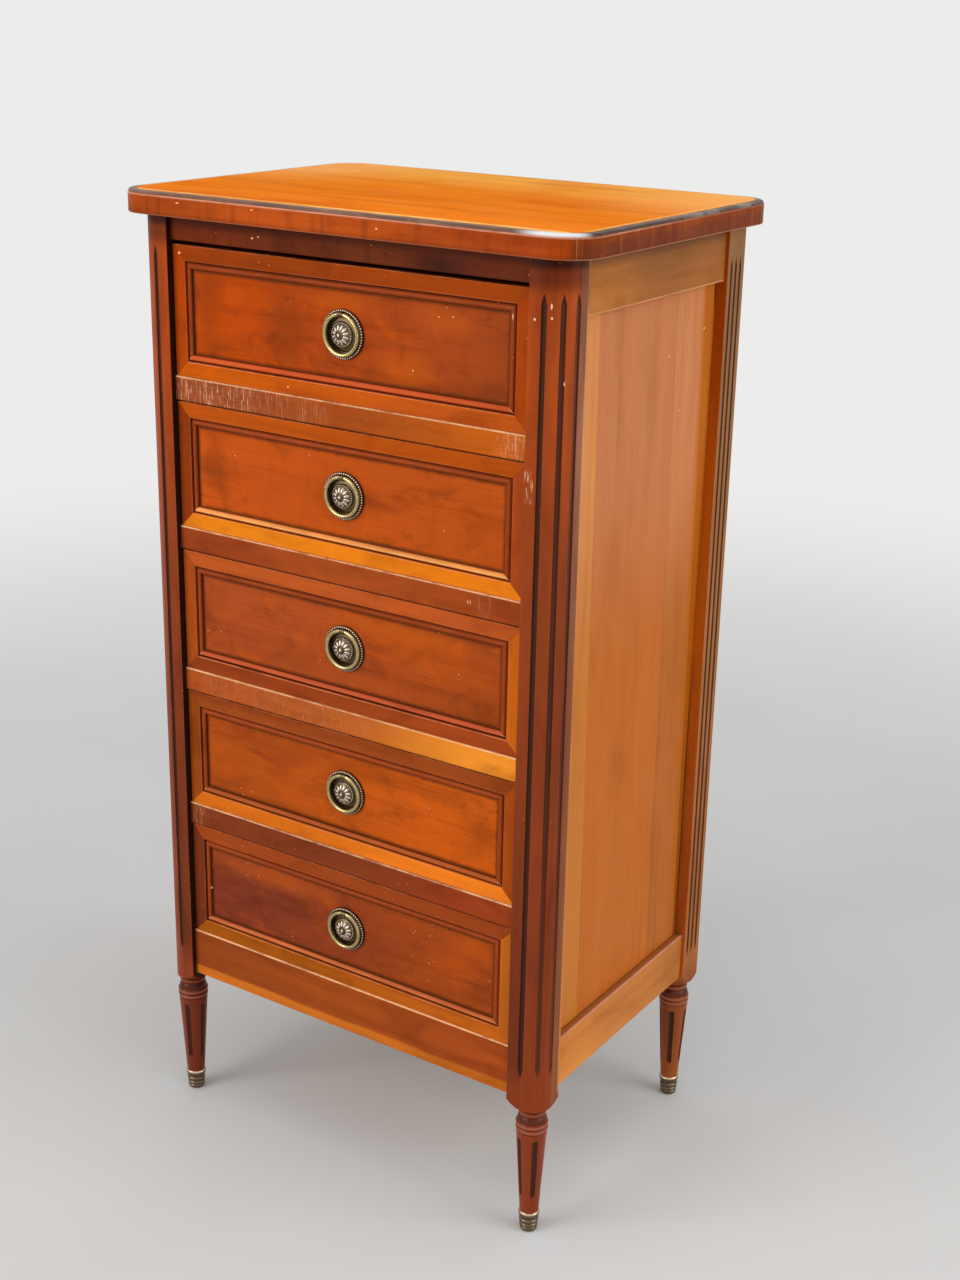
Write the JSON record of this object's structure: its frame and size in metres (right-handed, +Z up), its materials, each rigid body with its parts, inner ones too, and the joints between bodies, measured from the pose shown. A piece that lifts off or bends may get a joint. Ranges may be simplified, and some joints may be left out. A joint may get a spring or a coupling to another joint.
{
  "type": "chest of drawers",
  "caption": "Tall narrow chest of drawers with fluted round-cornered posts on turned legs; framed drawers slide out on runners and hang round ring pulls that lift.",
  "frame": {"origin": "centre of the footprint on the floor", "axes": "+X to the right along the width, +Y from the front to the back so the drawers open along -Y, +Z up"},
  "size_m": [0.584, 0.416, 1.12],
  "materials": {
    "cherry_top": "waxed, honey coloured",
    "cherry_edge": "polished, red brown",
    "ebonised": "black, high gloss",
    "cherry_frame": "polished, red brown",
    "cherry_side": "waxed, tan",
    "drawer_front": "polished, figured",
    "drawer_moulding": "polished",
    "inner_oak": "bare, aged",
    "antique_brass": "antique",
    "steel": "plain"
  },
  "bodies": {
    "carcase": {"apron_rail": "cherry_frame", "back_panel": "inner_oak", "back_rails": "inner_oak", "drawer_rail_1": "cherry_frame", "drawer_rail_2": "cherry_frame", "drawer_rail_3": "cherry_frame", "drawer_rail_4": "cherry_frame", "drawer_runners": "inner_oak", "drawer_stops": "inner_oak", "frieze_rail": "cherry_frame", "front_leg_left": "cherry_frame", "front_leg_right": "cherry_frame", "front_post_left": "cherry_frame", "front_post_right": "cherry_frame", "leg_ferrules": "antique_brass", "rear_leg_left": "cherry_frame", "rear_leg_right": "cherry_frame", "rear_post_left": "cherry_frame", "rear_post_right": "cherry_frame", "side_bottom_rail_left": "cherry_side", "side_bottom_rail_right": "cherry_side", "side_panel_left": "cherry_side", "side_panel_right": "cherry_side", "side_top_rail_left": "cherry_side", "side_top_rail_right": "cherry_side", "top_bearers": "inner_oak", "top_black_fillet": "ebonised", "top_board": "cherry_top", "top_edge_moulding": "cherry_edge", "top_screws": "steel"},
    "drawer_1": {"drawer_1_front": "drawer_front", "drawer_1_moulding": "drawer_moulding", "drawer_1_box": "inner_oak", "drawer_1_bottom": "inner_oak", "drawer_1_pull_plate": "antique_brass"},
    "ring_1": {"drawer_1_pull_ring": "antique_brass"},
    "drawer_2": {"drawer_2_front": "drawer_front", "drawer_2_moulding": "drawer_moulding", "drawer_2_box": "inner_oak", "drawer_2_bottom": "inner_oak", "drawer_2_pull_plate": "antique_brass"},
    "ring_2": {"drawer_2_pull_ring": "antique_brass"},
    "drawer_3": {"drawer_3_front": "drawer_front", "drawer_3_moulding": "drawer_moulding", "drawer_3_box": "inner_oak", "drawer_3_bottom": "inner_oak", "drawer_3_pull_plate": "antique_brass"},
    "ring_3": {"drawer_3_pull_ring": "antique_brass"},
    "drawer_4": {"drawer_4_front": "drawer_front", "drawer_4_moulding": "drawer_moulding", "drawer_4_box": "inner_oak", "drawer_4_bottom": "inner_oak", "drawer_4_pull_plate": "antique_brass"},
    "ring_4": {"drawer_4_pull_ring": "antique_brass"},
    "drawer_5": {"drawer_5_front": "drawer_front", "drawer_5_moulding": "drawer_moulding", "drawer_5_box": "inner_oak", "drawer_5_bottom": "inner_oak", "drawer_5_pull_plate": "antique_brass"},
    "ring_5": {"drawer_5_pull_ring": "antique_brass"}
  },
  "joints": [
    {"name": "drawer_1_slide", "type": "slide", "parent": "carcase", "child": "drawer_1", "axis": [0, -1, 0], "range_m": [0, 0.26]},
    {"name": "drawer_2_slide", "type": "slide", "parent": "carcase", "child": "drawer_2", "axis": [0, -1, 0], "range_m": [0, 0.26]},
    {"name": "drawer_3_slide", "type": "slide", "parent": "carcase", "child": "drawer_3", "axis": [0, -1, 0], "range_m": [0, 0.26]},
    {"name": "drawer_4_slide", "type": "slide", "parent": "carcase", "child": "drawer_4", "axis": [0, -1, 0], "range_m": [0, 0.26]},
    {"name": "drawer_5_slide", "type": "slide", "parent": "carcase", "child": "drawer_5", "axis": [0, -1, 0], "range_m": [0, 0.26]},
    {"name": "ring_1_hinge", "type": "hinge", "parent": "drawer_1", "child": "ring_1", "pos_m": [0, -0.1875, 1.0135], "axis": [-1, 0, 0], "range_deg": [-1, 130]},
    {"name": "ring_2_hinge", "type": "hinge", "parent": "drawer_2", "child": "ring_2", "pos_m": [0, -0.1875, 0.8425], "axis": [-1, 0, 0], "range_deg": [-1, 130]},
    {"name": "ring_3_hinge", "type": "hinge", "parent": "drawer_3", "child": "ring_3", "pos_m": [0, -0.1875, 0.6715], "axis": [-1, 0, 0], "range_deg": [-1, 130]},
    {"name": "ring_4_hinge", "type": "hinge", "parent": "drawer_4", "child": "ring_4", "pos_m": [0, -0.1875, 0.5005], "axis": [-1, 0, 0], "range_deg": [-1, 130]},
    {"name": "ring_5_hinge", "type": "hinge", "parent": "drawer_5", "child": "ring_5", "pos_m": [0, -0.1875, 0.3295], "axis": [-1, 0, 0], "range_deg": [-1, 130]}
  ]
}
